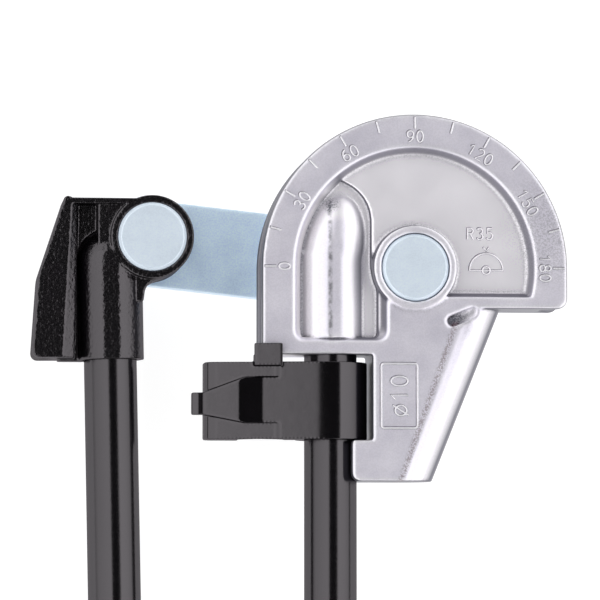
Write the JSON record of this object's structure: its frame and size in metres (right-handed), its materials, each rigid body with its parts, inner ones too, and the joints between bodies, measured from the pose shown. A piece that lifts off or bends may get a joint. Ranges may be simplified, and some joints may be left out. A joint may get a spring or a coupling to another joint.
{
  "type": "manual tube bender",
  "caption": "Hand tube bender with a half-round grooved former, angle scale, swinging link, folding lever with sliding shoe, hinged tube clip and two long gripped handles.",
  "frame": {"origin": "on the bend axis, in the plane of the bench that the pin's rivet head and the grips rest on", "axes": "+Z out of the scale face, along the bend axis; +Y away from the handles, so both handles point along -Y; +X to the right as the scale is read"},
  "size_m": [0.1227, 0.313, 0.0342],
  "materials": {
    "cast_aluminium": "bright die cast, lightly mottled",
    "zinc_steel": "blue zinc plated, fine grain",
    "thrust_steel": "plain ground steel",
    "spring_steel": "dark phosphated spring steel",
    "black_casting": "gloss black paint with orange peel on a casting",
    "black_gloss": "smooth gloss black paint",
    "black_tube": "smooth semi-gloss black coating on steel tube",
    "grip_rubber": "matt black moulded rubber with fine ribs",
    "plug_plastic": "plain black polyethylene"
  },
  "bodies": {
    "former": {"former_casting": "cast_aluminium", "centre_pin": "zinc_steel", "centre_rivet_washer": "zinc_steel", "centre_spring_washer": "spring_steel", "centre_thrust_washer": "thrust_steel", "fixed_handle_tube": "black_tube", "fixed_handle_roll_pin": "spring_steel", "fixed_handle_end_plug": "plug_plastic", "fixed_handle_grip": "grip_rubber"},
    "link": {"link_plate": "zinc_steel"},
    "lever": {"lever_casting": "black_casting", "lever_pin": "zinc_steel", "lever_rivet_washer": "zinc_steel", "lever_spring_washer": "spring_steel", "lever_thrust_washer": "thrust_steel", "lever_handle_tube": "black_tube", "lever_handle_roll_pin": "spring_steel", "lever_handle_end_plug": "plug_plastic", "lever_handle_grip": "grip_rubber"},
    "clip": {"tube_clip": "black_gloss"}
  },
  "joints": [
    {"name": "link_swing", "type": "hinge", "parent": "former", "child": "link", "pos_m": [0, 0, 0], "axis": [0, 0, 1], "range_deg": [-168, 2]},
    {"name": "lever_fold", "type": "hinge", "parent": "link", "child": "lever", "pos_m": [-0.0603, 0.00655, 0], "axis": [0, 0, 1], "range_deg": [-187, 0]},
    {"name": "clip_swing", "type": "hinge", "parent": "former", "child": "clip", "pos_m": [-0.0188, -0.0305, 0.01713], "axis": [0, 1, 0], "range_deg": [0, 92]}
  ]
}
